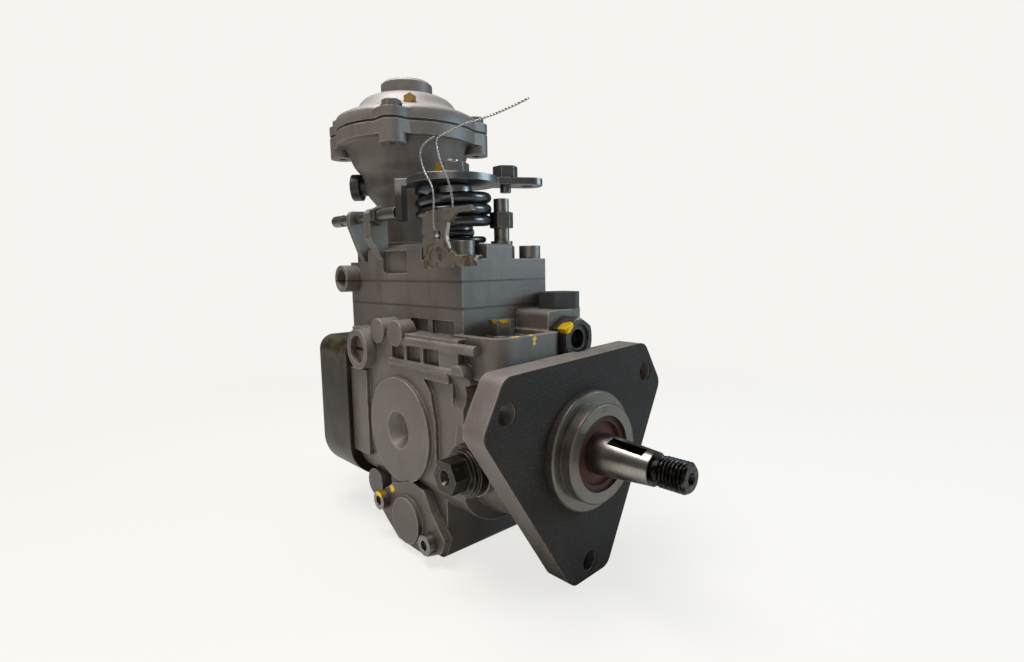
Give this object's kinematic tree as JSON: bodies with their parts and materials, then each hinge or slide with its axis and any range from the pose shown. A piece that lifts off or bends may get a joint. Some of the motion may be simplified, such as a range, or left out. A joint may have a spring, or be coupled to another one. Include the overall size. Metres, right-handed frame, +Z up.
{
  "type": "diesel injection pump",
  "caption": "Rotary fuel injection pump with a flange mount, keyed drive shaft, mechanical governor, boost compensator and accelerator lever; meters diesel to the injectors.",
  "frame": {"origin": "centre of the pilot in the plane of the gasket's outer face", "axes": "+X out along the drive shaft, +Z up, -Y the side with the shaft's lock bolt"},
  "size_m": [0.2311, 0.1077, 0.2296],
  "materials": {
    "cast_aluminium": "warm grey paint over cast aluminium, fine grain",
    "pump_housing": "warm grey paint over cast aluminium; the pilot is machined bright",
    "head_steel": "black oxide steel, slightly green, satin",
    "gasket_fibre": "charcoal fibre sheet with paler mottling",
    "paper_gasket": "thin dark paper gasket",
    "seal_rubber": "brown red moulded rubber",
    "shaft_steel": "ground steel, black on the thread",
    "ground_steel": "ground hardened steel",
    "dark_steel": "hardened steel, dark",
    "bronze": "sintered bronze",
    "pressed_steel": "pressed zinc plated steel",
    "spring_steel": "black spring wire",
    "zinc_screw": "bright zinc plated",
    "black_screw": "black oxide screw, satin",
    "black_plastic": "black plastic",
    "diaphragm_rubber": "thin black rubber and cloth",
    "brass_fitting": "brass, dull",
    "rusty_zinc": "galvanised sheet with rust",
    "seal_wire": "twisted galvanised wire"
  },
  "bodies": {
    "housing": {"pump_housing": "pump_housing", "flange_gasket": "gasket_fibre", "shaft_seal": "seal_rubber", "shaft_bush": "bronze", "eccentric_ring": "ground_steel", "support_plate": "ground_steel", "distributor_head": "head_steel", "socket_screws": "black_screw", "centre_plug": "black_screw", "delivery_valve_holders": "zinc_screw", "solenoid_body": "zinc_screw", "timer_covers": "cast_aluminium", "timer_gaskets": "paper_gasket", "timer_screws": "zinc_screw", "timing_spring": "spring_steel", "governor_shaft": "dark_steel", "lever_bracket": "pressed_steel", "pivot_screws": "black_screw", "governor_spring": "spring_steel", "governor_spacer": "cast_aluminium", "governor_cover": "cast_aluminium", "boost_housing": "cast_aluminium", "boost_cover": "cast_aluminium", "boost_screws": "black_screw", "boost_diaphragm": "diaphragm_rubber", "boost_spring": "spring_steel", "boost_fittings": "brass_fitting", "inlet_cap": "black_plastic", "lock_bolt": "black_screw", "hex_screws": "zinc_screw", "return_springs": "spring_steel", "lock_tag": "rusty_zinc", "seal_wire": "seal_wire", "plunger_springs": "spring_steel"},
    "shaft": {"drive_shaft": "shaft_steel", "vane_rotor": "ground_steel", "drive_gear": "ground_steel", "cross_disc": "ground_steel"},
    "cam": {"cam_plate": "ground_steel", "plunger": "ground_steel"},
    "bridge": {"spring_bridge": "ground_steel"},
    "ring": {"roller_ring": "dark_steel"},
    "roller_1": {"roller_1": "ground_steel"},
    "roller_2": {"roller_2": "ground_steel"},
    "roller_3": {"roller_3": "ground_steel"},
    "roller_4": {"roller_4": "ground_steel"},
    "advance_piston": {"timing_piston": "ground_steel"},
    "cage": {"flyweight_cage": "dark_steel"},
    "weight_1": {"flyweight_1": "ground_steel"},
    "weight_2": {"flyweight_2": "ground_steel"},
    "weight_3": {"flyweight_3": "ground_steel"},
    "weight_4": {"flyweight_4": "ground_steel"},
    "sleeve": {"governor_sleeve": "ground_steel"},
    "levers": {"governor_levers": "pressed_steel"},
    "collar": {"control_collar": "ground_steel"},
    "accelerator": {"lever_shaft": "zinc_screw", "throttle_lever": "pressed_steel"},
    "boost_pin": {"boost_pin": "ground_steel"},
    "stop_plunger": {"solenoid_plunger": "ground_steel"},
    "valves": {"delivery_valves": "ground_steel"}
  },
  "joints": [
    {"name": "drive_shaft_spin", "type": "hinge", "parent": "housing", "child": "shaft", "pos_m": [0, 0, 0], "axis": [1, 0, 0], "continuous": true},
    {"name": "plunger_stroke", "type": "slide", "parent": "shaft", "child": "cam", "axis": [-1, 0, 0], "range_m": [0, 0.0022], "stiffness_N_per_m": 4000, "deforming": ["plunger_springs"]},
    {"name": "spring_bridge_slide", "type": "slide", "parent": "housing", "child": "bridge", "axis": [-1, 0, 0], "range_m": [0, 0.0022]},
    {"name": "timing_piston_slide", "type": "slide", "parent": "housing", "child": "advance_piston", "axis": [0, -1, 0], "range_m": [0, 0.008], "stiffness_N_per_m": 2000, "deforming": ["timing_spring"]},
    {"name": "roller_ring_turn", "type": "hinge", "parent": "housing", "child": "ring", "pos_m": [0, 0, 0], "axis": [1, 0, 0], "range_deg": [-10.9, 0]},
    {"name": "roller_1_spin", "type": "hinge", "parent": "ring", "child": "roller_1", "pos_m": [-0.08, 0, 0], "axis": [0, 0.7071, 0.7071], "continuous": true},
    {"name": "roller_2_spin", "type": "hinge", "parent": "ring", "child": "roller_2", "pos_m": [-0.08, 0, 0], "axis": [0, -0.7071, 0.7071], "continuous": true},
    {"name": "roller_3_spin", "type": "hinge", "parent": "ring", "child": "roller_3", "pos_m": [-0.08, 0, 0], "axis": [0, -0.7071, -0.7071], "continuous": true},
    {"name": "roller_4_spin", "type": "hinge", "parent": "ring", "child": "roller_4", "pos_m": [-0.08, 0, 0], "axis": [0, 0.7071, -0.7071], "continuous": true},
    {"name": "governor_spin", "type": "hinge", "parent": "housing", "child": "cage", "pos_m": [0, 0.011, 0.04364], "axis": [1, 0, 0], "continuous": true},
    {"name": "sleeve_slide", "type": "slide", "parent": "cage", "child": "sleeve", "axis": [-1, 0, 0], "range_m": [0, 0.0035], "stiffness_N_per_m": 1000, "deforming": ["governor_spring"]},
    {"name": "flyweight_1_swing", "type": "hinge", "parent": "cage", "child": "weight_1", "pos_m": [-0.0635, 0.025, 0.04364], "axis": [0, 0, -1], "range_deg": [0, 26]},
    {"name": "flyweight_2_swing", "type": "hinge", "parent": "cage", "child": "weight_2", "pos_m": [-0.0635, 0.011, 0.05763], "axis": [0, 1, 0], "range_deg": [0, 26]},
    {"name": "flyweight_3_swing", "type": "hinge", "parent": "cage", "child": "weight_3", "pos_m": [-0.0635, -0.003, 0.04364], "axis": [0, 0, 1], "range_deg": [0, 26]},
    {"name": "flyweight_4_swing", "type": "hinge", "parent": "cage", "child": "weight_4", "pos_m": [-0.0635, 0.011, 0.02964], "axis": [0, -1, 0], "range_deg": [0, 26]},
    {"name": "governor_levers_swing", "type": "hinge", "parent": "housing", "child": "levers", "pos_m": [-0.10875, 0, 0.024], "axis": [0, -1, 0], "range_deg": [0, 10.4]},
    {"name": "collar_slide", "type": "slide", "parent": "housing", "child": "collar", "axis": [1, 0, 0], "range_m": [0, 0.0024]},
    {"name": "throttle_swing", "type": "hinge", "parent": "housing", "child": "accelerator", "pos_m": [-0.062, -0.018, 0.1], "axis": [0, 0, 1], "range_deg": [0, 40], "stiffness_Nm_per_rad": 0.3, "springref_deg": -11.46, "deforming": ["return_springs"]},
    {"name": "boost_pin_slide", "type": "slide", "parent": "housing", "child": "boost_pin", "axis": [0, 0, -1], "range_m": [0, 0.006], "stiffness_N_per_m": 2500, "deforming": ["boost_spring", "boost_diaphragm"]},
    {"name": "stop_plunger_slide", "type": "slide", "parent": "housing", "child": "stop_plunger", "axis": [0, 0, 1], "range_m": [0, 0.003], "stiffness_N_per_m": 500},
    {"name": "delivery_valves_slide", "type": "slide", "parent": "housing", "child": "valves", "axis": [-1, 0, 0], "range_m": [0, 0.0018], "stiffness_N_per_m": 3000}
  ],
  "couplings": [
    {"joint": "spring_bridge_slide", "follows": "plunger_stroke", "ratio": 1},
    {"joint": "roller_ring_turn", "follows": "timing_piston_slide", "rad_per_m": -23.529},
    {"joint": "governor_spin", "follows": "drive_shaft_spin", "ratio": -1.6087},
    {"joint": "roller_1_spin", "follows": "drive_shaft_spin", "ratio": 4.9},
    {"joint": "roller_2_spin", "follows": "drive_shaft_spin", "ratio": 4.9},
    {"joint": "roller_3_spin", "follows": "drive_shaft_spin", "ratio": 4.9},
    {"joint": "roller_4_spin", "follows": "drive_shaft_spin", "ratio": 4.9},
    {"joint": "flyweight_1_swing", "follows": "sleeve_slide", "rad_per_m": 125},
    {"joint": "flyweight_2_swing", "follows": "sleeve_slide", "rad_per_m": 125},
    {"joint": "flyweight_3_swing", "follows": "sleeve_slide", "rad_per_m": 125},
    {"joint": "flyweight_4_swing", "follows": "sleeve_slide", "rad_per_m": 125},
    {"joint": "governor_levers_swing", "follows": "sleeve_slide", "rad_per_m": 50.93},
    {"joint": "collar_slide", "follows": "sleeve_slide", "ratio": 0.662}
  ]
}
